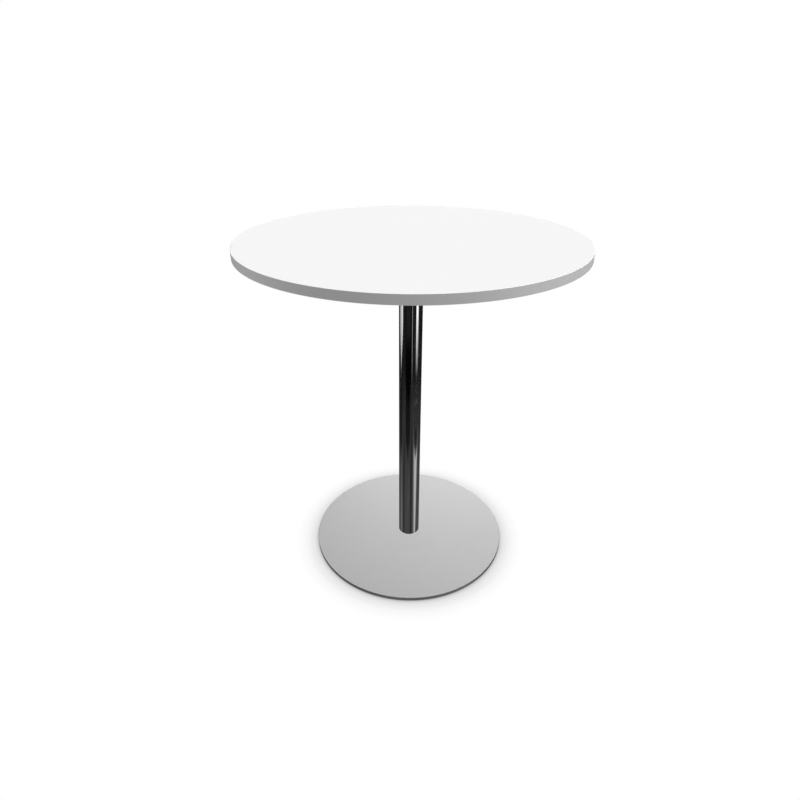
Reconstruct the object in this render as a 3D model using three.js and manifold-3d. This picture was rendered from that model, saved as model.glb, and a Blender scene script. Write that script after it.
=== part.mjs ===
// Round pedestal table: a laminated board on a four-armed casting, a chromed tube that a tie
// rod clamps between the casting and the base, and a flat steel disc on thin floor pads.
// Millimetres, +Z up, with the origin on the floor at the table's axis.
import * as THREE from "three";
import { mergeVertices } from "three/addons/utils/BufferGeometryUtils.js";
import Module from "manifold-3d";

const wasm = await Module();
wasm.setup();

// Sizes of the whole table
const tableHeight = 760;
const topDiameter = 700;
const columnDiameter = 50.8;
const baseDiameter = 470;

// Board, its two laminates and its edge band
const coreThickness = 16;
const laminateThickness = 0.7;
const bandThickness = 1.3;
const bandRounding = 0.6;
const glueLine = 0.1;

// Column tube
const tubeWall = 2;
const tubeChamfer = 0.5;

// Casting that carries the board: the arms
const armCount = 4;
const armReach = 190;
const armTipRadius = 17;
const armWebThickness = 4;
const ribThickness = 4.5;
const ribTipDepth = 4;
const ribDraft = 1.2; // how far each wall of a rib leans in over the ribs' full depth
const armRootShare = 0.8; // half width of an arm at the axis, of the hub's radius
const ribRootShare = 0.78; // depth of the ribs at the hub, of the hub's depth
const ribBendShare = 0.42; // where the ribs' lower edge bends, from the hub to the tip
const bossDiameter = 17;
const bossHeight = 1.5;

// Casting that carries the board: the hub
const hubWall = 5;
const hubDraft = 1.5;
const hubFillet = 9;
const castRounding = 1.5;
const socketDepth = 16;
const seatThickness = 9;
const pocketDiameter = 34;
const pocketHeadroom = 2;

// Wood screws that hold the casting to the board
const screwDiameter = 5;
const screwHeadDiameter = 9.6;
const screwHeadHeight = 3.4;
const screwPointLength = 4.5;
const innerScrewShare = 0.5; // place of the inner screw, from the axis to the outer one
const screwBiteShare = 0.7; // depth of the screws in the core board
const panFlatShare = 0.55; // flat of a pan head, of its radius
const panRimShare = 0.42; // straight rim of a pan head, of its height

// Tie rod with its washer and nut
const rodDiameter = 12;
const rodChamfer = 1;
const rodEngagement = 24;
const rodStickOut = 2.5;
const washerDiameter = 24;
const washerThickness = 2.5;
const nutAcrossFlats = 18;
const nutHeight = 10;

// Hub inside the foot of the column
const footHubHeight = 46;
const footHubChamfer = 2.5;

// Base disc and the bolts that hold the foot hub to it
const plateThickness = 8;
const plateRounding = 0.8;
const boltCount = 3;
const boltCircleShare = 0.6; // radius of the bolt circle, of the foot hub's radius
const boltDiameter = 8;
const boltHeadDiameter = 16;
const boltHeadRim = 0.5;
const boltHeadRecess = 0.4;
const boltChamfer = 0.8;
const boltEngagement = 12;
const boltHoleSpare = 3;

// Floor pads under the disc
const padCount = 8;
const padDiameter = 20;
const padThickness = 1.4;
const padChamfer = 0.4;
const padInset = 6;

// Clearances and the overrun of every cut
const slipClearance = 0.3;
const overrun = 1;
const weldDistance = 0.0001;

// Facets
const discSegments = 96;
const tubeSegments = 64;
const rodSegments = 24;
const screwSegments = 16;
const innerSegments = 32;
const arcSteps = 2;
const filletSteps = 4;
const ribSteps = 7;

const quarterTurn = Math.PI / 2;
const halfTurn = Math.PI;
const fullTurn = 2 * Math.PI;
const armStart = Math.PI / 4;
const boltStart = quarterTurn;
const nutSides = 6;

// Sizes that follow from the ones above
const topRadius = topDiameter / 2;
const baseRadius = baseDiameter / 2;
const tubeRadius = columnDiameter / 2;
const tubeBore = tubeRadius - tubeWall;
const boardThickness = coreThickness + 2 * laminateThickness;
const boardUnderside = tableHeight - boardThickness;
const plateTop = padThickness + plateThickness;
const pocketDepth = washerThickness + nutHeight + rodStickOut + pocketHeadroom;
const hubDepth = pocketDepth + seatThickness + socketDepth;
const hubRadius = tubeRadius + slipClearance + hubWall;
const ribRootDepth = hubDepth * ribRootShare;
const armRootRadius = hubRadius * armRootShare;
const outerScrewPlace = armReach - armTipRadius;
const innerScrewPlace = outerScrewPlace * innerScrewShare;
const screwSeatDepth = armWebThickness + bossHeight;
const screwLength = screwSeatDepth + laminateThickness + coreThickness * screwBiteShare;
const tubeTop = boardUnderside - pocketDepth - seatThickness;
const footHubRadius = tubeBore - slipClearance;
const footHubTop = plateTop + footHubHeight;
const rodBottom = footHubTop - rodEngagement;
const nutSeat = boardUnderside - pocketDepth + washerThickness;
const rodTop = nutSeat + nutHeight + rodStickOut;
const boltCircleRadius = footHubRadius * boltCircleShare;
const boltLength = plateThickness - boltHeadRecess + boltEngagement;
const padCircleRadius = baseRadius - padInset - padDiameter / 2;

const table = new THREE.Group();

// Finishes
function finish(color, roughness, metalness) {
  return new THREE.MeshStandardMaterial({ color, roughness, metalness });
}

const whiteLaminate = () => finish(0xf6f6f6, 0.45, 0);
const greyBacking = () => finish(0xd8d8d6, 0.6, 0);
const greyEdging = () => finish(0xb2b3b4, 0.5, 0);
const chipboard = () => finish(0xb8935f, 0.9, 0);
const blackCasting = () => finish(0x1d1d1f, 0.6, 0.3);
const polishedChrome = () => finish(0xd6d8da, 0.06, 1);
const satinSteel = () => finish(0xc4c5c6, 0.32, 1);
const zincPlate = () => finish(0xb4b6b6, 0.35, 1);
const darkPad = () => finish(0x2b2b2c, 0.8, 0);

// A profile of [radius, height] points turned about the vertical axis
function turned(profile, segments) {
  const points = profile.map(([radius, height]) => new THREE.Vector2(radius, height));
  const geometry = new THREE.LatheGeometry(points, segments);
  geometry.rotateX(quarterTurn);
  return geometry;
}

// Points of an arc in a turned profile
function arcPoints(centre, radius, startAngle, endAngle, steps = arcSteps) {
  const [centreRadius, centreHeight] = centre;
  return Array.from({ length: steps + 1 }, (_, i) => {
    const angle = startAngle + ((endAngle - startAngle) * i) / steps;
    return [centreRadius + radius * Math.cos(angle), centreHeight + radius * Math.sin(angle)];
  });
}

// A closed solid that can be joined and cut
function solidFrom(geometry) {
  const bare = geometry.clone();
  bare.deleteAttribute("normal");
  bare.deleteAttribute("uv");
  const welded = mergeVertices(bare, weldDistance);
  return new wasm.Manifold(
    new wasm.Mesh({
      numProp: 3,
      vertProperties: welded.attributes.position.array,
      triVerts: Uint32Array.from(welded.index.array),
    }),
  );
}

function geometryFrom(solid) {
  const { vertProperties, triVerts } = solid.getMesh();
  const geometry = new THREE.BufferGeometry();
  geometry.setAttribute("position", new THREE.BufferAttribute(vertProperties, 3));
  geometry.setIndex(new THREE.BufferAttribute(triVerts, 1));
  geometry.computeVertexNormals();
  return geometry;
}

function place(parent, name, geometry, material, x = 0, y = 0, z = 0) {
  const mesh = new THREE.Mesh(geometry, material);
  mesh.name = name;
  mesh.position.set(x, y, z);
  parent.add(mesh);
}

function groupAt(height) {
  const group = new THREE.Group();
  group.position.z = height;
  table.add(group);
  return group;
}

// Places of the wood screws, seen from above
function screwPlaces() {
  const places = [];
  for (let arm = 0; arm < armCount; arm += 1) {
    const angle = armStart + (fullTurn * arm) / armCount;
    for (const distance of [innerScrewPlace, outerScrewPlace]) {
      places.push([distance * Math.cos(angle), distance * Math.sin(angle)]);
    }
  }
  return places;
}

function boltPlaces() {
  return Array.from({ length: boltCount }, (_, i) => {
    const angle = boltStart + (fullTurn * i) / boltCount;
    return [boltCircleRadius * Math.cos(angle), boltCircleRadius * Math.sin(angle)];
  });
}

function drilled(solid, places, cutterGeometry) {
  return places.reduce(
    (rest, [x, y]) => rest.subtract(solidFrom(cutterGeometry.clone().translate(x, y, 0))),
    solid,
  );
}

// A plain disc of the board, measured from the board's underside
function boardLayer(radius, bottom, thickness) {
  const top = bottom + thickness;
  return turned([[0, bottom], [radius, bottom], [radius, top], [0, top]], discSegments);
}

function pilotHole(depth) {
  const radius = screwDiameter / 2 + slipClearance;
  const roundHole = [[0, -overrun], [radius, -overrun], [radius, depth], [0, depth]];
  return turned(roundHole, screwSegments);
}

function edgeBandGeometry() {
  const inner = topRadius - bandThickness;
  const outer = topRadius - bandRounding;
  const profile = [
    [inner, 0],
    ...arcPoints([outer, bandRounding], bandRounding, -quarterTurn, 0),
    ...arcPoints([outer, boardThickness - bandRounding], bandRounding, 0, quarterTurn),
    [inner, boardThickness],
    [inner, 0],
  ];
  return turned(profile, discSegments);
}

function buildTop() {
  const board = groupAt(boardUnderside);
  const radius = topRadius - bandThickness - glueLine;
  const coreTop = laminateThickness + coreThickness;
  const pilotDepth = screwLength - screwSeatDepth + slipClearance;
  const backing = solidFrom(boardLayer(radius, 0, laminateThickness));
  const core = solidFrom(boardLayer(radius, laminateThickness, coreThickness));
  const backingHoles = drilled(backing, screwPlaces(), pilotHole(pilotDepth));
  const coreHoles = drilled(core, screwPlaces(), pilotHole(pilotDepth));
  const faceLaminate = boardLayer(radius, coreTop, laminateThickness);
  place(board, "backing_laminate", geometryFrom(backingHoles), greyBacking());
  place(board, "core_board", geometryFrom(coreHoles), chipboard());
  place(board, "top_laminate", faceLaminate, whiteLaminate());
  place(board, "edge_band", edgeBandGeometry(), greyEdging());
}

// Plan of an arm: two circles and their common tangents, drawn in by an inset
function armOutline(inset) {
  const tangent = Math.acos((armRootRadius - armTipRadius) / outerScrewPlace);
  const outline = new THREE.Shape();
  outline.absarc(outerScrewPlace, 0, armTipRadius - inset, -tangent, tangent);
  outline.absarc(0, 0, armRootRadius - inset, tangent, fullTurn - tangent);
  outline.closePath();
  return outline;
}

// The arm's plan as a slab that hangs down from the board, its walls drawn in by the draft
function armSlab(inset, depth, draft, above = 0) {
  const slab = new THREE.ExtrudeGeometry(armOutline(inset), {
    depth: depth + above,
    bevelEnabled: false,
    curveSegments: ribSteps,
  });
  slab.translate(0, 0, -depth);
  const corners = slab.attributes.position;
  for (let i = 0; i < corners.count; i += 1) {
    const centre = corners.getX(i) > outerScrewPlace / 2 ? outerScrewPlace : 0;
    const outward = new THREE.Vector2(corners.getX(i) - centre, corners.getY(i)).normalize();
    const lean = (draft * corners.getZ(i)) / ribRootDepth;
    corners.setXY(i, corners.getX(i) + outward.x * lean, corners.getY(i) + outward.y * lean);
  }
  return solidFrom(slab);
}

// Side view of an arm: deep at the hub, swept up to a low rim at the tip
function armSideView() {
  const rim = -armWebThickness - ribTipDepth;
  const bend = hubRadius + (outerScrewPlace - hubRadius) * ribBendShare;
  const view = new THREE.Shape();
  view.moveTo(0, 0);
  view.lineTo(0, -ribRootDepth);
  view.lineTo(hubRadius, -ribRootDepth);
  view.quadraticCurveTo(bend, rim, outerScrewPlace, rim);
  view.lineTo(armReach + overrun, rim);
  view.lineTo(armReach + overrun, 0);
  view.closePath();
  const width = 2 * (armRootRadius + armTipRadius);
  const slab = new THREE.ExtrudeGeometry(view, {
    depth: width,
    bevelEnabled: false,
    curveSegments: ribSteps,
  });
  return solidFrom(slab.rotateX(quarterTurn).translate(0, width / 2, 0));
}

// Raised seat of a screw head, on the underside of the web
function screwBoss(distance) {
  const radius = bossDiameter / 2;
  const foot = radius + bossHeight;
  const profile = [
    [0, -screwSeatDepth],
    [radius, -screwSeatDepth],
    [foot, -armWebThickness],
    [foot, -armWebThickness / 2],
    [0, -armWebThickness / 2],
  ];
  return solidFrom(turned(profile, rodSegments).translate(distance, 0, 0));
}

// One arm: a flat web, a swept rib down each edge that meets round the tip, and two bosses
function arm() {
  const ribs = armSlab(0, ribRootDepth, ribDraft)
    .subtract(armSlab(ribThickness, ribRootDepth + overrun, -ribDraft, overrun))
    .intersect(armSideView());
  return armSlab(0, armWebThickness, ribDraft)
    .add(ribs)
    .add(screwBoss(innerScrewPlace))
    .add(screwBoss(outerScrewPlace));
}

function hubBody() {
  const wallTop = hubRadius + hubDraft;
  const lip = [hubRadius - castRounding, castRounding - hubDepth];
  const fillet = [wallTop + hubFillet, -armWebThickness - hubFillet];
  const profile = [
    [0, -hubDepth],
    ...arcPoints(lip, castRounding, -quarterTurn, 0),
    ...arcPoints(fillet, hubFillet, halfTurn, quarterTurn, filletSteps),
    [wallTop + hubFillet, 0],
    [0, 0],
  ];
  return solidFrom(turned(profile, tubeSegments));
}

// What the hub is bored for: the column's socket, the rod and the pocket of its nut
function hubBore() {
  const socket = tubeRadius + slipClearance;
  const rod = rodDiameter / 2 + slipClearance;
  const pocket = pocketDiameter / 2;
  const profile = [
    [0, -hubDepth - overrun],
    [socket, -hubDepth - overrun],
    [socket, socketDepth - hubDepth],
    [rod, socketDepth - hubDepth],
    [rod, -pocketDepth],
    [pocket, -pocketDepth],
    [pocket, overrun],
    [0, overrun],
  ];
  return solidFrom(turned(profile, innerSegments));
}

function screwHoleGeometry() {
  const radius = screwDiameter / 2 + slipClearance;
  const bottom = -screwSeatDepth - overrun;
  return turned([[0, bottom], [radius, bottom], [radius, overrun], [0, overrun]], screwSegments);
}

function spiderGeometry() {
  const armGeometry = geometryFrom(arm());
  let casting = hubBody();
  for (let i = 0; i < armCount; i += 1) {
    const angle = armStart + (fullTurn * i) / armCount;
    casting = casting.add(solidFrom(armGeometry.clone().rotateZ(angle)));
  }
  return geometryFrom(drilled(casting.subtract(hubBore()), screwPlaces(), screwHoleGeometry()));
}

// A pan-head wood screw that points up, with its seat at height zero
function woodScrewGeometry() {
  const head = screwHeadDiameter / 2;
  const shank = screwDiameter / 2;
  const rim = -screwHeadHeight * panRimShare;
  const profile = [
    [0, -screwHeadHeight],
    [head * panFlatShare, -screwHeadHeight],
    [head, rim],
    [head, 0],
    [shank, 0],
    [shank, screwLength - screwPointLength],
    [0, screwLength],
  ];
  return turned(profile, screwSegments);
}

function buildSpider() {
  const underBoard = groupAt(boardUnderside);
  place(underBoard, "mounting_spider", spiderGeometry(), blackCasting());
  screwPlaces().forEach(([x, y], i) => {
    const name = `top_screw_${i + 1}`;
    place(underBoard, name, woodScrewGeometry(), zincPlate(), x, y, -screwSeatDepth);
  });
}

function tubeGeometry() {
  const length = tubeTop - plateTop;
  const profile = [
    [tubeBore, 0],
    [tubeRadius, 0],
    [tubeRadius, length - tubeChamfer],
    [tubeRadius - tubeChamfer, length],
    [tubeBore, length],
    [tubeBore, 0],
  ];
  return turned(profile, tubeSegments);
}

function rodGeometry() {
  const radius = rodDiameter / 2;
  const length = rodTop - rodBottom;
  const profile = [
    [0, 0],
    [radius - rodChamfer, 0],
    [radius, rodChamfer],
    [radius, length - rodChamfer],
    [radius - rodChamfer, length],
    [0, length],
  ];
  return turned(profile, rodSegments);
}

function washerGeometry() {
  const inner = rodDiameter / 2 + slipClearance;
  const outer = washerDiameter / 2;
  const top = washerThickness;
  return turned([[inner, 0], [outer, 0], [outer, top], [inner, top], [inner, 0]], innerSegments);
}

// A hexagon nut, its corners taken off by two cones
function nutGeometry() {
  const corner = nutAcrossFlats / 2 / Math.cos(halfTurn / nutSides);
  const flat = nutAcrossFlats / 2;
  const bevel = corner - flat;
  const hexagon = new THREE.CylinderGeometry(corner, corner, nutHeight, nutSides);
  const prism = solidFrom(hexagon.rotateX(quarterTurn).translate(0, 0, nutHeight / 2));
  const cones = turned(
    [[0, 0], [flat, 0], [corner, bevel], [corner, nutHeight - bevel], [flat, nutHeight], [0, nutHeight]],
    rodSegments,
  );
  const bore = rodDiameter / 2 + slipClearance;
  const hole = [[0, -overrun], [bore, -overrun], [bore, nutHeight + overrun], [0, nutHeight + overrun]];
  return geometryFrom(prism.intersect(solidFrom(cones)).subtract(solidFrom(turned(hole, rodSegments))));
}

function buildColumn() {
  const washerSeat = nutSeat - washerThickness;
  place(table, "column_tube", tubeGeometry(), polishedChrome(), 0, 0, plateTop);
  place(table, "tie_rod", rodGeometry(), zincPlate(), 0, 0, rodBottom);
  place(table, "tie_rod_washer", washerGeometry(), zincPlate(), 0, 0, washerSeat);
  place(table, "tie_rod_nut", nutGeometry(), zincPlate(), 0, 0, nutSeat);
}

// A countersunk bolt that points up, with the face of its head at height zero
function boltGeometry() {
  const head = boltHeadDiameter / 2;
  const shank = boltDiameter / 2;
  const profile = [
    [0, 0],
    [head, 0],
    [head, boltHeadRim],
    [shank, boltHeadRim + head - shank],
    [shank, boltLength - boltChamfer],
    [shank - boltChamfer, boltLength],
    [0, boltLength],
  ];
  return turned(profile, rodSegments);
}

// The bolt's countersunk hole through the disc
function boltHoleGeometry() {
  const head = boltHeadDiameter / 2 + slipClearance;
  const shank = boltDiameter / 2 + slipClearance;
  const rim = boltHeadRecess + boltHeadRim;
  const top = plateThickness + overrun;
  const profile = [
    [0, -overrun],
    [head, -overrun],
    [head, rim],
    [shank, rim + head - shank],
    [shank, top],
    [0, top],
  ];
  return turned(profile, rodSegments);
}

// The hub that stands on the base inside the column, tapped for the rod and for the bolts
function footHubGeometry() {
  const edge = footHubRadius - footHubChamfer;
  const shoulder = footHubHeight - footHubChamfer;
  const outside = [[0, 0], [footHubRadius, 0], [footHubRadius, shoulder], [edge, footHubHeight]];
  const body = solidFrom(turned([...outside, [0, footHubHeight]], innerSegments));
  const bore = rodDiameter / 2 + slipClearance;
  const floor = footHubHeight - rodEngagement;
  const mouth = footHubHeight + overrun;
  const rodHole = solidFrom(turned([[0, floor], [bore, floor], [bore, mouth], [0, mouth]], rodSegments));
  const tap = boltDiameter / 2 + slipClearance;
  const depth = boltEngagement + boltHoleSpare;
  const boltHole = turned([[0, -overrun], [tap, -overrun], [tap, depth], [0, depth]], rodSegments);
  return geometryFrom(drilled(body.subtract(rodHole), boltPlaces(), boltHole));
}

function plateGeometry() {
  const outer = baseRadius - plateRounding;
  const profile = [
    [0, 0],
    [outer, 0],
    [baseRadius, plateRounding],
    ...arcPoints([outer, plateThickness - plateRounding], plateRounding, 0, quarterTurn),
    [0, plateThickness],
  ];
  const disc = solidFrom(turned(profile, discSegments));
  return geometryFrom(drilled(disc, boltPlaces(), boltHoleGeometry()));
}

function padGeometry() {
  const radius = padDiameter / 2;
  const profile = [
    [0, 0],
    [radius - padChamfer, 0],
    [radius, padChamfer],
    [radius, padThickness],
    [0, padThickness],
  ];
  return turned(profile, rodSegments);
}

function buildBase() {
  place(table, "column_foot_hub", footHubGeometry(), zincPlate(), 0, 0, plateTop);
  place(table, "base_plate", plateGeometry(), satinSteel(), 0, 0, padThickness);
  boltPlaces().forEach(([x, y], i) => {
    const name = `base_bolt_${i + 1}`;
    place(table, name, boltGeometry(), zincPlate(), x, y, padThickness + boltHeadRecess);
  });
  for (let i = 0; i < padCount; i += 1) {
    const angle = (fullTurn * (i + 1 / 2)) / padCount;
    const x = padCircleRadius * Math.cos(angle);
    const y = padCircleRadius * Math.sin(angle);
    place(table, `floor_pad_${i + 1}`, padGeometry(), darkPad(), x, y);
  }
}

buildTop();
buildSpider();
buildColumn();
buildBase();

export default table;
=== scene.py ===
import math
import bmesh
import bpy
from mathutils import Matrix, Vector


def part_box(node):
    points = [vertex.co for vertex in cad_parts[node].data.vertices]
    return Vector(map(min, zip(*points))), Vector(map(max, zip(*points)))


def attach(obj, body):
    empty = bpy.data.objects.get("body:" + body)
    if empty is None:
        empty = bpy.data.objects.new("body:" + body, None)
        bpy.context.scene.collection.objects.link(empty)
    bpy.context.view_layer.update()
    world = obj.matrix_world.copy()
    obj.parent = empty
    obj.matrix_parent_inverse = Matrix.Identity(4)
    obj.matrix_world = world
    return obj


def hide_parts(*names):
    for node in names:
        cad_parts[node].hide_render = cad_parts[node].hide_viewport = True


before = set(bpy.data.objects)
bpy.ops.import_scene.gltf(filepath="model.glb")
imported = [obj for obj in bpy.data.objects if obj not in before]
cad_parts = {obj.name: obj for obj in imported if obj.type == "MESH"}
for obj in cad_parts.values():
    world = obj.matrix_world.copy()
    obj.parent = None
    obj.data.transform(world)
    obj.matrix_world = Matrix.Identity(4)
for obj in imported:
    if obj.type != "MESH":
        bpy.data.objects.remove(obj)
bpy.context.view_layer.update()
scene = bpy.context.scene
fullTurn = 2 * math.pi
toDegrees = 360 / fullTurn
mm = 0.001
noiseEnds = (0.3, 0.7)  # most of a noise's values lie between these

# The camera stands where the photograph was taken from
print("camera")
cameraSettings = {
    "place": (-0.0231, -1.1422, 1.0230),
    "pitchDown": math.radians(28.93),
    "sensorWidth": 36.0,
    "frameWidth": 800,  # pixels
    "focalLength": 567.1,  # pixels
}


def makeCamera(settings):
    data = bpy.data.cameras.new("camera")
    data.sensor_width = settings["sensorWidth"]
    data.lens = settings["focalLength"] / settings["frameWidth"] * settings["sensorWidth"]
    camera = bpy.data.objects.new("camera", data)
    camera.location = settings["place"]
    camera.rotation_euler = (math.pi / 2 - settings["pitchDown"], 0, 0)
    scene.collection.objects.link(camera)
    scene.camera = camera


makeCamera(cameraSettings)


# Shader node helpers
def addNode(tree, kind, **settings):
    node = tree.nodes.new(kind)
    for key, value in settings.items():
        setattr(node, key, value)
    return node


def plug(tree, source, target):  # source may be a socket or a plain value
    if isinstance(source, bpy.types.NodeSocket):
        tree.links.new(source, target)
    else:
        target.default_value = source


def maths(tree, operation, first, second=None, third=None, clamp=False):
    node = addNode(tree, "ShaderNodeMath", operation=operation, use_clamp=clamp)
    for socket, value in zip(node.inputs, (first, second, third)):
        if value is not None:
            plug(tree, value, socket)
    return node.outputs[0]


def mapRange(tree, value, fromLow, fromHigh, toLow=0.0, toHigh=1.0, smooth=False):
    kind = "SMOOTHSTEP" if smooth else "LINEAR"
    node = addNode(tree, "ShaderNodeMapRange", interpolation_type=kind, clamp=True)
    for socket, source in zip(node.inputs, (value, fromLow, fromHigh, toLow, toHigh)):
        plug(tree, source, socket)
    return node.outputs[0]


def mixColours(tree, amount, first, second):
    node = addNode(tree, "ShaderNodeMix", data_type="RGBA")
    plug(tree, amount, node.inputs["Factor"])
    plug(tree, first, node.inputs[6])
    plug(tree, second, node.inputs[7])
    return node.outputs[2]


def noise(tree, vector, scale, detail=2.0, roughness=0.5):
    node = addNode(tree, "ShaderNodeTexNoise")
    plug(tree, vector, node.inputs["Vector"])
    node.inputs["Scale"].default_value = scale
    node.inputs["Detail"].default_value = detail
    node.inputs["Roughness"].default_value = roughness
    return node.outputs["Fac"]


def objectPlace(tree):  # a point of the piece, in metres
    return addNode(tree, "ShaderNodeTexCoord").outputs["Object"]


def aroundAxis(tree, vector):  # angle round the table's axis, distance from it, and height
    parts = addNode(tree, "ShaderNodeSeparateXYZ")
    plug(tree, vector, parts.inputs[0])
    x, y, z = parts.outputs
    angle = maths(tree, "ARCTAN2", x, maths(tree, "MULTIPLY", y, -1.0))
    squares = maths(tree, "ADD", maths(tree, "MULTIPLY", x, x), maths(tree, "MULTIPLY", y, y))
    return angle, maths(tree, "SQRT", squares), z


def combine(tree, x, y, z):
    node = addNode(tree, "ShaderNodeCombineXYZ")
    for socket, value in zip(node.inputs, (x, y, z)):
        plug(tree, value, socket)
    return node.outputs[0]


def newGroup(name, inputs, outputs):  # inputs and outputs are {name: default}
    group = bpy.data.node_groups.new(name, "ShaderNodeTree")
    for label, value in inputs.items():
        kind = "NodeSocketVector" if label == "Place" else "NodeSocketFloat"
        socket = group.interface.new_socket(label, in_out="INPUT", socket_type=kind)
        if value is not None:
            socket.default_value = value
    for label in outputs:
        group.interface.new_socket(label, in_out="OUTPUT", socket_type="NodeSocketFloat")
    return group, addNode(group, "NodeGroupInput"), addNode(group, "NodeGroupOutput")


# Shared effects, each a group that puts out masks and heights
print("shader groups")
grainDetail = {"Height": 2.0, "Mask": 4.0}


def makeFineGrain():  # a close pebbled texture, as on laminate, powder coat and moulded plastic
    group, given, result = newGroup(
        "fineGrain", {"Place": None, "Size": 0.5 * mm, "Unevenness": 0.5}, ("Height", "Mask")
    )
    scale = maths(group, "DIVIDE", 1.0, given.outputs["Size"])
    for label, detail in grainDetail.items():
        texture = addNode(group, "ShaderNodeTexNoise")
        plug(group, given.outputs["Place"], texture.inputs["Vector"])
        plug(group, scale, texture.inputs["Scale"])
        texture.inputs["Detail"].default_value = detail
        plug(group, given.outputs["Unevenness"], texture.inputs["Roughness"])
        plug(group, texture.outputs["Fac"], result.inputs[label])
    return group


handlingSettings = {
    "smearDetail": 5.0, "smearDistortion": 1.2, "smears": (0.42, 0.68),
    "patchScale": 0.31, "patches": (0.45, 0.65),
}


def makeHandling(settings):  # wiped smears and fingermarks, which change the gloss
    group, given, result = newGroup("handling", {"Place": None, "Size": 60 * mm}, ("Mask",))
    scale = maths(group, "DIVIDE", 1.0, given.outputs["Size"])
    smear = addNode(group, "ShaderNodeTexNoise")
    plug(group, given.outputs["Place"], smear.inputs["Vector"])
    plug(group, scale, smear.inputs["Scale"])
    smear.inputs["Detail"].default_value = settings["smearDetail"]
    smear.inputs["Distortion"].default_value = settings["smearDistortion"]
    patch = addNode(group, "ShaderNodeTexNoise")
    plug(group, given.outputs["Place"], patch.inputs["Vector"])
    plug(group, maths(group, "MULTIPLY", scale, settings["patchScale"]), patch.inputs["Scale"])
    smears = mapRange(group, smear.outputs["Fac"], *settings["smears"])
    patches = mapRange(group, patch.outputs["Fac"], *settings["patches"], smooth=True)
    plug(group, maths(group, "MULTIPLY", smears, patches), result.inputs["Mask"])
    return group


drawnDetail = {"detail": 3.0, "roughness": 0.6}


def makeDrawnLines():  # long lines along a piece, as rolling, drawing or extruding leaves them
    group, given, result = newGroup(
        "drawnLines", {"Across": 0.0, "Along": 0.0, "Spacing": 0.4 * mm, "Length": 80 * mm}, ("Height",)
    )
    across = maths(group, "DIVIDE", given.outputs["Across"], given.outputs["Spacing"])
    along = maths(group, "DIVIDE", given.outputs["Along"], given.outputs["Length"])
    height = noise(group, combine(group, across, along, 0.0), 1.0, **drawnDetail)
    plug(group, height, result.inputs["Height"])
    return group


fineGrain = makeFineGrain()
handling = makeHandling(handlingSettings)
drawnLines = makeDrawnLines()


def useGroup(tree, group, **values):
    node = addNode(tree, "ShaderNodeGroup", node_tree=group)
    for label, value in values.items():
        plug(tree, value, node.inputs[label])
    return node.outputs


def newMaterial(name, roughness, metallic=0.0, colour=(0.8, 0.8, 0.8)):  # roughness is a range
    material = bpy.data.materials.new(name)
    material.use_nodes = True
    shader = material.node_tree.nodes["Principled BSDF"]
    shader.inputs["Base Color"].default_value = (*colour, 1)
    shader.inputs["Roughness"].default_value = sum(roughness) / 2
    shader.inputs["Metallic"].default_value = metallic
    return material, material.node_tree, shader


def addBump(tree, shader, height, distance):
    bump = addNode(tree, "ShaderNodeBump")
    bump.inputs["Distance"].default_value = distance
    plug(tree, height, bump.inputs["Height"])
    plug(tree, bump.outputs["Normal"], shader.inputs["Normal"])


def grey(level):
    return (level, level, level, 1)


# Finishes
print("materials")
whiteLaminateSettings = {
    "gloss": 0.015, "roughness": (0.66, 0.76), "tones": (0.912, 0.927), "bump": 0.02 * mm,
    "grain": {"Size": 0.45 * mm, "Unevenness": 0.5},
    "markSize": 90 * mm, "markShare": 0.35, "markTone": 0.910,
}


def makeWhiteLaminate(settings):
    material, tree, shader = newMaterial("whiteLaminate", settings["roughness"])
    shader.inputs["Specular IOR Level"].default_value = settings["gloss"]
    place = objectPlace(tree)
    grain = useGroup(tree, fineGrain, Place=place, **settings["grain"])
    marks = useGroup(tree, handling, Place=place, Size=settings["markSize"])["Mask"]
    tone = mapRange(tree, grain["Mask"], *noiseEnds)
    colour = mixColours(tree, tone, *map(grey, settings["tones"]))
    marked = maths(tree, "MULTIPLY", marks, settings["markShare"])
    colour = mixColours(tree, marked, colour, grey(settings["markTone"]))
    plug(tree, colour, shader.inputs["Base Color"])
    plug(tree, mapRange(tree, marks, 0.0, 1.0, *settings["roughness"]), shader.inputs["Roughness"])
    addBump(tree, shader, grain["Height"], settings["bump"])
    return material


def makeGrained(name, settings, metallic=0.0):  # one grain sets its tone, gloss and relief
    material, tree, shader = newMaterial(name, settings["roughness"], metallic)
    grain = useGroup(tree, fineGrain, Place=objectPlace(tree), **settings["grain"])
    plug(tree, mixColours(tree, grain["Mask"], *settings["colours"]), shader.inputs["Base Color"])
    gloss = mapRange(tree, grain["Mask"], *noiseEnds, *settings["roughness"])
    plug(tree, gloss, shader.inputs["Roughness"])
    addBump(tree, shader, grain["Height"], settings["bump"])
    return material


backingLaminateSettings = {
    "grain": {"Size": 0.8 * mm, "Unevenness": 0.6}, "colours": (grey(0.60), grey(0.70)),
    "roughness": (0.55, 0.68), "bump": 0.05 * mm,
}
zincPlateSettings = {
    "grain": {"Size": 2.5 * mm, "Unevenness": 0.6},
    "colours": ((0.50, 0.51, 0.50, 1), (0.62, 0.62, 0.60, 1)),
    "roughness": (0.28, 0.42), "bump": 0.02 * mm,
}
floorPadSettings = {
    "grain": {"Size": 0.6 * mm, "Unevenness": 0.75}, "colours": (grey(0.02), grey(0.06)),
    "roughness": (0.72, 0.9), "bump": 0.2 * mm,
}
greyEdgingSettings = {
    "lines": {"Spacing": 0.5 * mm, "Length": 120 * mm},
    "grain": {"Size": 0.35 * mm, "Unevenness": 0.5},
    "tones": (0.43, 0.48), "roughness": (0.42, 0.52), "bump": 0.02 * mm,
    "trimmed": (0.25 * mm, 0.05 * mm),  # depths below the top, pale where it was trimmed flush
    "trimmedTone": 0.84,
}


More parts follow.
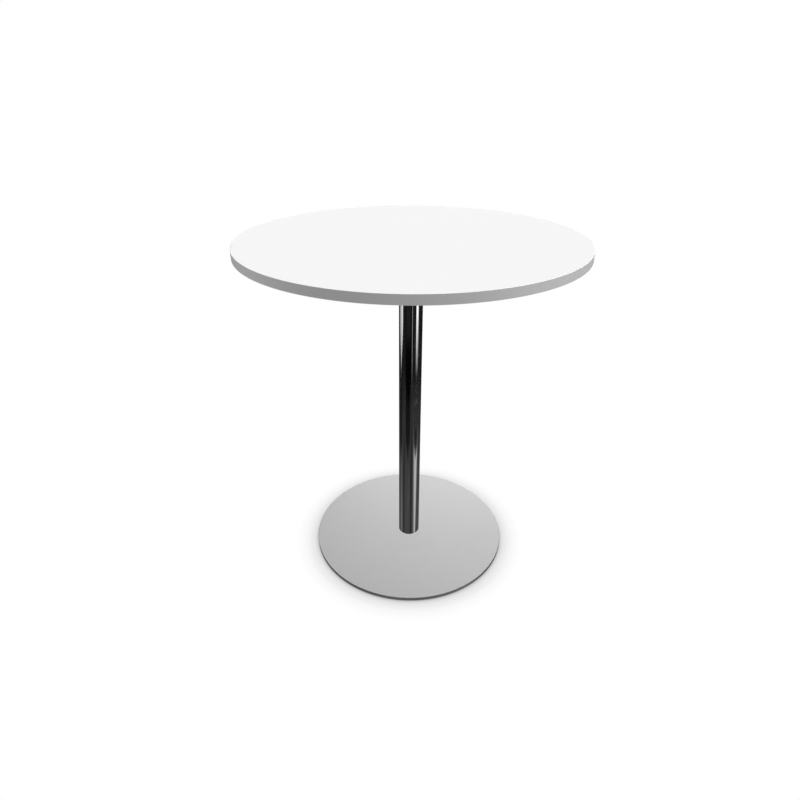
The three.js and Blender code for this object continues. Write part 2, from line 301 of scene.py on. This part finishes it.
def makeGreyEdging(settings):
    material, tree, shader = newMaterial("greyEdging", settings["roughness"])
    place = objectPlace(tree)
    angle, radius, height = aroundAxis(tree, place)
    arc = maths(tree, "MULTIPLY", angle, radius)
    lines = useGroup(tree, drawnLines, Across=height, Along=arc, **settings["lines"])["Height"]
    grain = useGroup(tree, fineGrain, Place=place, **settings["grain"])
    shade = maths(tree, "MULTIPLY", maths(tree, "ADD", lines, grain["Mask"]), 0.5)
    colour = mixColours(tree, mapRange(tree, shade, *noiseEnds), *map(grey, settings["tones"]))
    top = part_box("edge_band")[1].z
    trimmed = mapRange(tree, height, *[top - depth for depth in settings["trimmed"]])
    colour = mixColours(tree, trimmed, colour, grey(settings["trimmedTone"]))
    plug(tree, colour, shader.inputs["Base Color"])
    gloss = mapRange(tree, grain["Mask"], *noiseEnds, *settings["roughness"])
    plug(tree, gloss, shader.inputs["Roughness"])
    addBump(tree, shader, maths(tree, "ADD", lines, grain["Height"]), settings["bump"])
    return material


polishedChromeSettings = {
    "colour": (0.865, 0.865, 0.865), "lines": {"Spacing": 1.4 * mm, "Length": 300 * mm},
    "markSize": 35 * mm, "roughness": (0.055, 0.11), "bump": 0.006 * mm,
}


def makePolishedChrome(settings):
    material, tree, shader = newMaterial(
        "polishedChrome", settings["roughness"], metallic=1.0, colour=settings["colour"]
    )
    place = objectPlace(tree)
    angle, radius, height = aroundAxis(tree, place)
    arc = maths(tree, "MULTIPLY", angle, radius)
    lines = useGroup(tree, drawnLines, Across=arc, Along=height, **settings["lines"])["Height"]
    marks = useGroup(tree, handling, Place=place, Size=settings["markSize"])["Mask"]
    plug(tree, mapRange(tree, marks, 0.0, 1.0, *settings["roughness"]), shader.inputs["Roughness"])
    addBump(tree, shader, lines, settings["bump"])
    return material


satinSteelSettings = {
    "grain": {"Size": 0.3 * mm, "Unevenness": 0.6}, "tones": (0.547, 0.587), "roughness": (0.42, 0.48),
    "markSize": 70 * mm, "markShare": 0.3, "markTone": 0.527, "bump": 0.008 * mm,
    "cut": (0.8 * mm, 0.2 * mm),  # distances from the disc's rim over which its colour is darkened, a painted shade in place of the dark reflection on the rim
    "cutTone": 0.33,
}


def makeSatinSteel(settings):
    material, tree, shader = newMaterial("satinSteel", settings["roughness"], metallic=1.0)
    place = objectPlace(tree)
    grain = useGroup(tree, fineGrain, Place=place, **settings["grain"])
    marks = useGroup(tree, handling, Place=place, Size=settings["markSize"])["Mask"]
    tone = mapRange(tree, grain["Mask"], *noiseEnds)
    colour = mixColours(tree, tone, *map(grey, settings["tones"]))
    marked = maths(tree, "MULTIPLY", marks, settings["markShare"])
    colour = mixColours(tree, marked, colour, grey(settings["markTone"]))
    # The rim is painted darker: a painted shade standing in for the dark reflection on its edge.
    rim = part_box("base_plate")[1].x
    radius = aroundAxis(tree, place)[1]
    cut = mapRange(tree, radius, *[rim - depth for depth in settings["cut"]])
    plug(tree, mixColours(tree, cut, colour, grey(settings["cutTone"])), shader.inputs["Base Color"])
    plug(tree, mapRange(tree, marks, 0.0, 1.0, *settings["roughness"]), shader.inputs["Roughness"])
    addBump(tree, shader, grain["Height"], settings["bump"])
    return material


blackCastingSettings = {
    "peel": {"Size": 1.6 * mm, "Unevenness": 0.45}, "speck": {"Size": 0.4 * mm, "Unevenness": 0.7},
    "tones": (0.016, 0.032), "roughness": (0.42, 0.6), "bump": 0.25 * mm,
}


def makeBlackCasting(settings):
    material, tree, shader = newMaterial("blackCasting", settings["roughness"])
    place = objectPlace(tree)
    peel = useGroup(tree, fineGrain, Place=place, **settings["peel"])
    speck = useGroup(tree, fineGrain, Place=place, **settings["speck"])
    plug(tree, mixColours(tree, speck["Mask"], *map(grey, settings["tones"])), shader.inputs["Base Color"])
    gloss = mapRange(tree, speck["Mask"], *noiseEnds, *settings["roughness"])
    plug(tree, gloss, shader.inputs["Roughness"])
    addBump(tree, shader, peel["Height"], settings["bump"])
    return material


chipboardSettings = {
    "flakeSize": 2.5 * mm, "flattening": 3, "colours": ((0.42, 0.27, 0.13, 1), (0.72, 0.55, 0.34, 1)),
    "roughness": (0.75, 0.92), "bump": 0.3 * mm,
}


def makeChipboard(settings):
    material, tree, shader = newMaterial("chipboard", settings["roughness"])
    place = objectPlace(tree)
    flakes = addNode(tree, "ShaderNodeTexVoronoi")
    flat = addNode(tree, "ShaderNodeMapping")
    flat.inputs["Scale"].default_value = (1, 1, settings["flattening"])
    plug(tree, place, flat.inputs["Vector"])
    plug(tree, flat.outputs[0], flakes.inputs["Vector"])
    flakes.inputs["Scale"].default_value = 1 / settings["flakeSize"]
    split = addNode(tree, "ShaderNodeSeparateColor")
    plug(tree, flakes.outputs["Color"], split.inputs[0])
    plug(tree, mixColours(tree, split.outputs[0], *settings["colours"]), shader.inputs["Base Color"])
    gloss = mapRange(tree, split.outputs[1], 0.0, 1.0, *settings["roughness"])
    plug(tree, gloss, shader.inputs["Roughness"])
    addBump(tree, shader, flakes.outputs["Distance"], settings["bump"])
    return material


whiteLaminate = makeWhiteLaminate(whiteLaminateSettings)
backingLaminate = makeGrained("backingLaminate", backingLaminateSettings)
greyEdging = makeGreyEdging(greyEdgingSettings)
polishedChrome = makePolishedChrome(polishedChromeSettings)
satinSteel = makeSatinSteel(satinSteelSettings)
blackCasting = makeBlackCasting(blackCastingSettings)
zincPlate = makeGrained("zincPlate", zincPlateSettings, metallic=1.0)
floorPad = makeGrained("floorPad", floorPadSettings)
chipboard = makeChipboard(chipboardSettings)


# Mesh helpers
weldDistance = 0.001 * mm  # points as close as this are one
ringReach = 0.01 * mm  # how far off a ring a point of it may lie
smoothAngle = math.radians(35)  # faces that meet more flatly are shaded smoothly


def spun(profile, segments, closed=False):  # (radius, height) points, turned about the axis
    bm = bmesh.new()
    corners = [bm.verts.new((radius, 0, height)) for radius, height in profile]
    ends = corners[1:] + corners[:1] if closed else corners[1:]
    edges = [bm.edges.new(pair) for pair in zip(corners, ends)]
    bmesh.ops.spin(
        bm, geom=corners + edges, axis=(0, 0, 1), cent=(0, 0, 0), angle=fullTurn,
        steps=segments, use_merge=True,
    )
    bmesh.ops.remove_doubles(bm, verts=bm.verts, dist=weldDistance)
    bmesh.ops.recalc_face_normals(bm, faces=bm.faces)
    return bm


def ringEdges(bm, radius, height):  # the edges of one ring of a turned shape
    def onRing(vert):
        return abs(vert.co.xy.length - radius) < ringReach and abs(vert.co.z - height) < ringReach

    return [edge for edge in bm.edges if all(onRing(vert) for vert in edge.verts)]


def roundRing(bm, radius, height, size, segments=4):
    bmesh.ops.bevel(
        bm, geom=ringEdges(bm, radius, height), affect="EDGES", offset=size,
        segments=segments, profile=0.5, material=-1,
    )


def addPiece(name, bm, material, nodes):
    mesh = bpy.data.meshes.new(name)
    bm.to_mesh(mesh)
    bm.free()
    mesh.materials.append(material)
    mesh.polygons.foreach_set("use_smooth", [True] * len(mesh.polygons))
    mesh.set_sharp_from_angle(angle=smoothAngle)
    piece = bpy.data.objects.new(name, mesh)
    scene.collection.objects.link(piece)
    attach(piece, "root")
    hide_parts(*nodes)
    return piece


def addWeightedNormals(piece):  # keeps broad flats flat next to their rounded edges
    modifier = piece.modifiers.new("weightedNormals", "WEIGHTED_NORMAL")
    modifier.keep_sharp = True


# The table top
print("top")
topSettings = {
    "segments": 256, "faceRounding": 0.15 * mm, "bandRounding": 0.35 * mm, "bandClearance": 0.05 * mm,
}


def makeTopFace(settings):
    low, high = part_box("top_laminate")
    profile = [(0, low.z), (high.x, low.z), (high.x, high.z), (0, high.z)]
    bm = spun(profile, settings["segments"])
    roundRing(bm, high.x, high.z, settings["faceRounding"], segments=2)
    piece = addPiece("topFace", bm, whiteLaminate, ["top_laminate"])
    addWeightedNormals(piece)


def makeEdgeBand(settings):
    low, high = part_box("edge_band")
    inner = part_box("top_laminate")[1].x + settings["bandClearance"]
    profile = [(inner, low.z), (high.x, low.z), (high.x, high.z), (inner, high.z)]
    bm = spun(profile, settings["segments"], closed=True)
    for height in (low.z, high.z):
        roundRing(bm, high.x, height, settings["bandRounding"])
    piece = addPiece("edgeBanding", bm, greyEdging, ["edge_band"])
    addWeightedNormals(piece)


makeTopFace(topSettings)
makeEdgeBand(topSettings)

# The column
print("column")
columnSettings = {"segments": 160, "wall": 2 * mm, "footRounding": 0.25 * mm, "endRounding": 0.4 * mm}


def makeColumn(settings):
    low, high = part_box("column_tube")
    bore = high.x - settings["wall"]
    profile = [(bore, low.z), (high.x, low.z), (high.x, high.z), (bore, high.z)]
    bm = spun(profile, settings["segments"], closed=True)
    roundRing(bm, high.x, low.z, settings["footRounding"], segments=2)
    roundRing(bm, high.x, high.z, settings["endRounding"], segments=2)
    piece = addPiece("column", bm, polishedChrome, ["column_tube"])
    addWeightedNormals(piece)
    piece.visible_glossy = False
    piece.visible_shadow = False


makeColumn(columnSettings)

# The base disc, with countersunk holes beneath for the bolts
print("base")
baseSettings = {
    "segments": 256, "rounding": 0.8 * mm, "holeSegments": 48, "holeRadius": 8.3 * mm,
    "holeRim": 0.9 * mm, "shankRadius": 4.3 * mm, "holeDepth": 7.5 * mm,
}


def nodesNamed(start):  # the CAD nodes of one kind, in order
    return sorted(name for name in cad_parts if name.startswith(start))


def middleOf(node):
    low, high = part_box(node)
    return (low + high) / 2


def circlePoints(radius, segments):
    steps = [fullTurn * step / segments for step in range(segments)]
    return [(radius * math.cos(turn), radius * math.sin(turn)) for turn in steps]


def addLoop(bm, outline, middle, height):  # a closed loop of edges in a level plane
    corners = [bm.verts.new((middle.x + x, middle.y + y, height)) for x, y in outline]
    return [bm.edges.new(pair) for pair in zip(corners, corners[1:] + corners[:1])]


def deepen(bm, loop, middle, scale, rise):  # draws a loop inwards and up, and gives its new end
    made = bmesh.ops.extrude_edge_only(bm, edges=loop)["geom"]
    moved = [item for item in made if isinstance(item, bmesh.types.BMVert)]
    for vert in moved:
        vert.co.x = middle.x + (vert.co.x - middle.x) * scale
        vert.co.y = middle.y + (vert.co.y - middle.y) * scale
        vert.co.z += rise
    ends = set(moved)
    return [item for item in made if isinstance(item, bmesh.types.BMEdge) and ends.issuperset(item.verts)]


def makeBase(settings):
    low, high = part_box("base_plate")
    bm = spun([(high.x, low.z), (high.x, high.z), (0, high.z)], settings["segments"])
    rim = ringEdges(bm, high.x, low.z)
    circle = circlePoints(settings["holeRadius"], settings["holeSegments"])
    middles = [middleOf(node) for node in nodesNamed("base_bolt_")]
    loops = [addLoop(bm, circle, middle, low.z) for middle in middles]
    bmesh.ops.triangle_fill(bm, edges=rim + sum(loops, []), use_beauty=True)
    cone = settings["shankRadius"] / settings["holeRadius"]
    coneDepth = settings["holeRadius"] - settings["shankRadius"]
    rest = settings["holeDepth"] - settings["holeRim"] - coneDepth
    for loop, middle in zip(loops, middles):
        loop = deepen(bm, loop, middle, 1.0, settings["holeRim"])
        loop = deepen(bm, loop, middle, cone, coneDepth)
        loop = deepen(bm, loop, middle, 1.0, rest)
        bmesh.ops.edgeloop_fill(bm, edges=loop)
    bmesh.ops.recalc_face_normals(bm, faces=bm.faces)
    for height in (low.z, high.z):
        roundRing(bm, high.x, height, settings["rounding"])
    piece = addPiece("baseDisc", bm, satinSteel, ["base_plate"])
    addWeightedNormals(piece)
    piece.visible_glossy = False


makeBase(baseSettings)

# The casting under the top, from the merged faces of its solid
print("casting")
castingSettings = {
    "weld": 0.002 * mm, "edgeRounding": 0.6 * mm,
    "flatAngle": math.radians(1), "sharpAngle": math.radians(32),
}


def makeCasting(settings):
    bm = bmesh.new()
    bm.from_mesh(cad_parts["mounting_spider"].data)
    bmesh.ops.remove_doubles(bm, verts=bm.verts, dist=settings["weld"])
    bmesh.ops.dissolve_limit(bm, verts=bm.verts, edges=bm.edges, angle_limit=settings["flatAngle"])
    piece = addPiece("castSpider", bm, blackCasting, ["mounting_spider"])
    rounding = piece.modifiers.new("rounding", "BEVEL")
    rounding.width = settings["edgeRounding"]
    rounding.segments = 2
    rounding.limit_method = "ANGLE"
    rounding.angle_limit = settings["sharpAngle"]
    addWeightedNormals(piece)


makeCasting(castingSettings)

# Fasteners, each with the recess its driver goes in
print("fasteners")
screwSettings = {
    "segments": 48, "headRadius": 4.8 * mm, "flatRadius": 2.7 * mm, "headHeight": 3.4 * mm,
    "sideHeight": 1.3 * mm, "shankRadius": 2.5 * mm, "pointLength": 4.5 * mm, "domeSteps": 8,
    "crossReach": 2.2 * mm, "crossHalf": 0.55 * mm, "crossDepth": 2.0 * mm, "crossTaper": 0.5,
    "turns": 5,  # turns its recess by this many times its angle round the table
}
boltSettings = {
    "segments": 64, "headRadius": 8 * mm, "rim": 0.5 * mm, "shankRadius": 4 * mm, "chamfer": 0.8 * mm,
    "socketRadius": 2.9 * mm, "socketDepth": 3.4 * mm, "socketTaper": 0.98, "flatRadius": 7.7 * mm,
    "edgeDrop": 0.25 * mm, "turns": 4,
}


def addRecess(bm, radius, outline, depth, taper):  # closes the open end at height zero round a recess
    middle = Vector((0, 0, 0))
    loop = addLoop(bm, outline, middle, 0.0)
    bmesh.ops.triangle_fill(bm, edges=ringEdges(bm, radius, 0.0) + loop, use_beauty=True)
    bmesh.ops.edgeloop_fill(bm, edges=deepen(bm, loop, middle, taper, depth))
    bmesh.ops.recalc_face_normals(bm, faces=bm.faces)


def crossOutline(reach, half):
    corner = [(reach, -half), (reach, half), (half, half)]
    turns = [Matrix.Rotation(fullTurn * quarter / 4, 2) for quarter in range(4)]
    return [tuple(turn @ Vector(point)) for turn in turns for point in corner]


def makeScrew(node, settings):  # its head faces down
    low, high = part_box(node)
    middle = middleOf(node)
    flat = settings["flatRadius"]
    side = settings["headHeight"] - settings["sideHeight"]
    across = settings["headRadius"] - flat
    steps = [math.pi / 2 * step / settings["domeSteps"] for step in range(settings["domeSteps"] + 1)]
    dome = [(flat + across * math.sin(turn), side * (1 - math.cos(turn))) for turn in steps]
    length = high.z - low.z
    profile = dome + [
        (settings["headRadius"], settings["headHeight"]),
        (settings["shankRadius"], settings["headHeight"]),
        (settings["shankRadius"], length - settings["pointLength"]),
        (0, length),
    ]
    bm = spun(profile, settings["segments"])
    cross = crossOutline(settings["crossReach"], settings["crossHalf"])
    addRecess(bm, flat, cross, settings["crossDepth"], settings["crossTaper"])
    turned = Matrix.Rotation(math.atan2(middle.y, middle.x) * settings["turns"], 4, "Z")
    place = Matrix.Translation((middle.x, middle.y, low.z))
    bmesh.ops.transform(bm, matrix=place @ turned, verts=bm.verts)
    addWeightedNormals(addPiece("screw" + node[-2:], bm, zincPlate, [node]))


def makeBolt(node, settings):  # its head faces down
    low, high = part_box(node)
    middle = middleOf(node)
    head = settings["headRadius"]
    shank = settings["shankRadius"]
    length = high.z - low.z
    profile = [
        (settings["flatRadius"], 0),
        (head, settings["edgeDrop"]),
        (head, settings["rim"]),
        (shank, settings["rim"] + head - shank),
        (shank, length - settings["chamfer"]),
        (shank - settings["chamfer"], length),
        (0, length),
    ]
    bm = spun(profile, settings["segments"])
    hexagon = circlePoints(settings["socketRadius"], 6)
    addRecess(bm, settings["flatRadius"], hexagon, settings["socketDepth"], settings["socketTaper"])
    turned = Matrix.Rotation(math.atan2(middle.y, middle.x) * settings["turns"], 4, "Z")
    place = Matrix.Translation((middle.x, middle.y, low.z))
    bmesh.ops.transform(bm, matrix=place @ turned, verts=bm.verts)
    piece = addPiece("bolt" + node[-2:], bm, zincPlate, [node])
    addWeightedNormals(piece)
    piece.visible_glossy = False


for node in nodesNamed("top_screw_"):
    makeScrew(node, screwSettings)
for node in nodesNamed("base_bolt_"):
    makeBolt(node, boltSettings)

# Floor pads
print("pads")
padSettings = {"segments": 64, "rounding": 0.4 * mm}


def makePad(node, settings):
    low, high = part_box(node)
    middle = middleOf(node)
    radius = high.x - middle.x
    height = high.z - low.z
    bm = spun([(0, 0), (radius, 0), (radius, height), (0, height)], settings["segments"])
    roundRing(bm, radius, 0.0, settings["rounding"], segments=3)
    bmesh.ops.translate(bm, verts=bm.verts, vec=(middle.x, middle.y, low.z))
    piece = addPiece("pad" + node[-2:], bm, floorPad, [node])
    addWeightedNormals(piece)
    piece.visible_glossy = False


for node in nodesNamed("floor_pad_"):
    makePad(node, padSettings)


# The backing laminate and the pieces inside keep their solids
def finishNode(name, material):
    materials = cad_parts[name].data.materials
    materials.clear()
    materials.append(material)


print("kept solids")
keptFinishes = {
    "backing_laminate": backingLaminate,
    "core_board": chipboard,
    "tie_rod": zincPlate,
    "tie_rod_washer": zincPlate,
    "tie_rod_nut": zincPlate,
    "column_foot_hub": zincPlate,
}
for name, material in keptFinishes.items():
    finishNode(name, material)
for name in ("tie_rod", "column_foot_hub"):  # inside the column, so they darken nothing round it
    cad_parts[name].visible_glossy = False
    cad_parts[name].visible_shadow = False

# Floor and light
print("studio")
floorSettings = {
    "radius": 14.0, "segments": 128, "shadowReach": 55 * mm, "shadowRays": 32,
    "shadows": ((0.204, 0.274), (1.5, 0.807)),  # power and gain of the wide shade and of the close one
}
lightSettings = {
    "bright": 1.236,  # the studio's light, before it leans
    "lean": 0.976,  # how much brighter the studio is behind and to the right than in front
    "leanTowards": Vector((0.384, 0.923, 0.0)),
    "leanDrop": 1.333,  # how much of that is taken off again past the sides
    "glow": (1.86, 0.916),  # its share near the horizon, and far above or below it
    "glowEnds": (20.0, 42.0),  # degrees from the horizon
}


def makeFloor(settings):
    material = bpy.data.materials.new("floor")
    material.use_nodes = True
    tree = material.node_tree
    tree.nodes.clear()
    shade = addNode(tree, "ShaderNodeAmbientOcclusion", samples=settings["shadowRays"])
    shade.inputs["Distance"].default_value = settings["shadowReach"]
    hidden = maths(tree, "SUBTRACT", 1.0, shade.outputs["AO"])
    dark = 0.0
    for power, gain in settings["shadows"]:
        dark = maths(tree, "MULTIPLY_ADD", maths(tree, "POWER", hidden, power), gain, dark)
    light = addNode(tree, "ShaderNodeEmission")
    plug(tree, maths(tree, "SUBTRACT", 1.0, dark, clamp=True), light.inputs["Strength"])
    clear = addNode(tree, "ShaderNodeBsdfTransparent")
    mix = addNode(tree, "ShaderNodeMixShader")
    plug(tree, addNode(tree, "ShaderNodeNewGeometry").outputs["Backfacing"], mix.inputs[0])
    plug(tree, light.outputs[0], mix.inputs[1])
    plug(tree, clear.outputs[0], mix.inputs[2])
    output = addNode(tree, "ShaderNodeOutputMaterial")
    plug(tree, mix.outputs[0], output.inputs["Surface"])
    bm = bmesh.new()
    bmesh.ops.create_circle(
        bm, cap_ends=True, segments=settings["segments"], radius=settings["radius"]
    )
    mesh = bpy.data.meshes.new("floor")
    bm.to_mesh(mesh)
    bm.free()
    mesh.materials.append(material)
    floor = bpy.data.objects.new("floor", mesh)
    scene.collection.objects.link(floor)
    floor.visible_diffuse = False
    floor.visible_shadow = False
    floor.visible_glossy = False


# What the metal reflects from above the horizon: a soft light, two lamps and some dark flags.
# Angles are in degrees, round from the front towards the right, and down from the horizon.
reflectedAbove = {
    "soft": 0.656,
    "lamps": (
        {"light": 6.11, "towards": Vector((0.141, 0.990, 0.0)), "narrowness": 15.5},
        {"light": 0.578, "towards": Vector((0.044, -0.498, 0.866)), "narrowness": 4.0},
    ),
    "flagTurns": ((-156, -134), (-68, -34), (25, 47), (88, 112)),
    "flagEdge": 3.0,
    "flagTop": (-68.0, -48.0),  # where they are gone, and where they are full
    "flagShare": 0.95,
}
# What it reflects from below the horizon: a dark studio with patches, paler further down, then lit
# gaps in it, dark wedges that hang into the paler part, and an even light from far below.
reflectedDark = {
    "start": (3.0, 9.0), "paleFrom": 25.8, "paleTo": 38.4, "dark": 0.0084, "pale": 0.0626,
    "cell": (9.0, 4.0), "patches": (0.8, 1.2),  # a patch's width and depth, and the share of its light
}
reflectedBelow = {"start": (43.0, 56.0), "light": 0.48}
# A gap is lit in full at one angle down and gone at another, and its ends may shrink from some angle
# on, by so many degrees each. One with a light below zero is a shade.
reflectedGaps = (
    {"turn": (54.8, 76.9), "soft": (2.6, 6.8), "full": 19.6, "gone": 26.5, "light": 1.23},
    {"turn": (-128.6, -80.9), "soft": (3.3, 1.2), "full": 22.9, "gone": 30.6, "light": 0.384,
     "shrink": (21.3, 5.0, 5.1)},
    {"turn": (-101.9, -85.7), "soft": (7.0, 1.0), "full": 18.8, "gone": 29.7, "light": 0.53,
     "shrink": (22.3, -3.0, 6.0)},
    {"turn": (14.2, 17.4), "soft": (1.1, 1.1), "full": 24.6, "gone": 27.9, "light": 0.43},
    {"turn": (46.5, 87.7), "soft": (14.0, 11.2), "full": 34.5, "gone": 31.3, "light": 0.45,
     "shrink": (33.0, 1.2, 1.1)},
    {"turn": (-114.8, -83.5), "soft": (7.2, 6.6), "full": 40.5, "gone": 32.7, "light": 0.071},
    {"turn": (-68.6, -56.1), "soft": (7.7, 2.9), "full": 37.0, "gone": 31.0, "light": -0.056},
    {"turn": (11.9, 27.6), "soft": (12.4, 3.4), "full": 36.7, "gone": 30.6, "light": -0.045},
    {"turn": (-38.0, -6.0), "soft": (1.5, 1.5), "full": 23.0, "gone": 27.0, "light": 0.005},
)
# A wedge starts at its top, narrows from one angle on and ends at its tip
reflectedWedges = (
    {"middle": -19.0, "half": 30.0, "soft": 7.0, "top": 22.8, "from": 27.2, "tip": 29.3, "share": 0.88},
    {"middle": -21.5, "half": 23.0, "soft": 3.4, "top": 27.5, "from": 33.0, "tip": 35.1, "share": 0.74},
    {"middle": -108.5, "half": 21.0, "soft": 3.6, "top": 26.0, "from": 33.4, "tip": 35.0, "share": 0.64},
    {"middle": 66.0, "half": 20.0, "soft": 1.3, "top": 31.5, "from": 33.5, "tip": 34.9, "share": 0.93},
)
wedgeTopSoft = 0.8  # degrees over which the broad end of a wedge fades in, either way


def between(tree, value, low, high, softLow, softHigh):  # 1 from low to high, with soft ends
    rise = mapRange(tree, value, low - softLow, low + softLow, smooth=True)
    fall = mapRange(tree, value, high - softHigh, high + softHigh, 1.0, 0.0, smooth=True)
    return maths(tree, "MULTIPLY", rise, fall)


def facing(tree, direction, towards):  # 1 straight towards a point, -1 straight away
    node = addNode(tree, "ShaderNodeVectorMath", operation="DOT_PRODUCT")
    plug(tree, direction, node.inputs[0])
    node.inputs[1].default_value = towards
    return node.outputs["Value"]


def lightAbove(tree, direction, turn, down):
    flags = 0.0
    edge = reflectedAbove["flagEdge"]
    for low, high in reflectedAbove["flagTurns"]:
        flags = maths(tree, "ADD", flags, between(tree, turn, low, high, edge, edge))
    height = mapRange(tree, down, *reflectedAbove["flagTop"], 0.0, reflectedAbove["flagShare"], smooth=True)
    unflagged = maths(tree, "SUBTRACT", 1.0, maths(tree, "MULTIPLY", flags, height), clamp=True)
    light = reflectedAbove["soft"]
    for lamp in reflectedAbove["lamps"]:
        near = maths(tree, "MAXIMUM", facing(tree, direction, lamp["towards"]), 0.0)
        beam = maths(tree, "POWER", near, lamp["narrowness"])
        light = maths(tree, "MULTIPLY_ADD", beam, lamp["light"], light)
    return maths(tree, "MULTIPLY", light, unflagged)


def gapLight(tree, turn, down, gap):
    low, high = gap["turn"]
    softLow, softHigh = gap["soft"]
    left, right = turn, turn
    if "shrink" in gap:
        start, byLeft, byRight = gap["shrink"]
        past = maths(tree, "MAXIMUM", maths(tree, "SUBTRACT", down, start), 0.0)
        left = maths(tree, "MULTIPLY_ADD", past, -byLeft, turn)
        right = maths(tree, "MULTIPLY_ADD", past, byRight, turn)
    rise = mapRange(tree, left, low - softLow, low + softLow, smooth=True)
    fall = mapRange(tree, right, high - softHigh, high + softHigh, 1.0, 0.0, smooth=True)
    depth = mapRange(tree, down, gap["gone"], gap["full"], 0.0, gap["light"])
    return maths(tree, "MULTIPLY", maths(tree, "MULTIPLY", rise, fall), depth)


def wedgeShare(tree, turn, down, wedge):  # how much of the light a wedge leaves
    half = mapRange(tree, down, wedge["from"], wedge["tip"], wedge["half"], 0.0)
    away = maths(tree, "ABSOLUTE", maths(tree, "SUBTRACT", turn, wedge["middle"]))
    inside = mapRange(
        tree, maths(tree, "SUBTRACT", away, half), -wedge["soft"], wedge["soft"], 1.0, 0.0, smooth=True
    )
    tip = maths(tree, "DIVIDE", half, wedge["soft"], clamp=True)
    top = mapRange(tree, down, wedge["top"] - wedgeTopSoft, wedge["top"] + wedgeTopSoft, smooth=True)
    inside = maths(tree, "MULTIPLY", maths(tree, "MULTIPLY", inside, tip), top)
    return maths(tree, "MULTIPLY_ADD", inside, -wedge["share"], 1.0)


def lightBelow(tree, turn, down):
    light = mapRange(
        tree, down, reflectedDark["paleFrom"], reflectedDark["paleTo"],
        reflectedDark["dark"], reflectedDark["pale"],
    )
    cell = reflectedDark["cell"]
    place = combine(tree, maths(tree, "DIVIDE", turn, cell[0]), maths(tree, "DIVIDE", down, cell[1]), 0.0)
    patches = mapRange(tree, noise(tree, place, 1.0), *noiseEnds, *reflectedDark["patches"])
    light = maths(tree, "MULTIPLY", light, patches)
    for gap in reflectedGaps:
        light = maths(tree, "ADD", light, gapLight(tree, turn, down, gap))
    light = maths(tree, "MAXIMUM", light, 0.0)
    for wedge in reflectedWedges:
        light = maths(tree, "MULTIPLY", light, wedgeShare(tree, turn, down, wedge))
    deep = mapRange(tree, down, *reflectedBelow["start"], 0.0, reflectedBelow["light"], smooth=True)
    return maths(tree, "ADD", light, deep)


def blend(tree, amount, first, second):
    mix = addNode(tree, "ShaderNodeMix", data_type="FLOAT")
    for socket, value in zip((mix.inputs[0], mix.inputs[2], mix.inputs[3]), (amount, first, second)):
        plug(tree, value, socket)
    return mix.outputs[0]


def makeWorld(settings):
    world = bpy.data.worlds.new("studio")
    world.use_nodes = True
    scene.world = world
    tree = world.node_tree
    direction = addNode(tree, "ShaderNodeTexCoord").outputs["Generated"]
    toLight = facing(tree, direction, settings["leanTowards"])
    lean = maths(tree, "MULTIPLY_ADD", toLight, settings["lean"], 1.0)
    lean = maths(tree, "MULTIPLY_ADD", maths(tree, "MAXIMUM", toLight, 0.0), -settings["leanDrop"], lean)
    soft = maths(tree, "MULTIPLY", lean, settings["bright"])
    angle, level, height = aroundAxis(tree, direction)
    turn = maths(tree, "MULTIPLY", angle, toDegrees)
    down = maths(tree, "MULTIPLY", maths(tree, "ARCTAN2", height, level), -toDegrees)
    below = mapRange(tree, down, *reflectedDark["start"], smooth=True)
    above = lightAbove(tree, direction, turn, down)
    mirrored = blend(tree, below, above, lightBelow(tree, turn, down))
    fromLevel = maths(tree, "ABSOLUTE", down)
    glow = mapRange(tree, fromLevel, *settings["glowEnds"], *settings["glow"], smooth=True)
    path = addNode(tree, "ShaderNodeLightPath").outputs
    unseen = blend(tree, path["Is Glossy Ray"], maths(tree, "MULTIPLY", soft, glow), mirrored)
    strength = blend(tree, path["Is Camera Ray"], unseen, 1.0)
    background = tree.nodes["Background"]
    plug(tree, strength, background.inputs["Strength"])
    background.inputs["Color"].default_value = (1, 1, 1, 1)


makeFloor(floorSettings)
makeWorld(lightSettings)
scene.view_settings.view_transform = "Standard"

print("sizes")
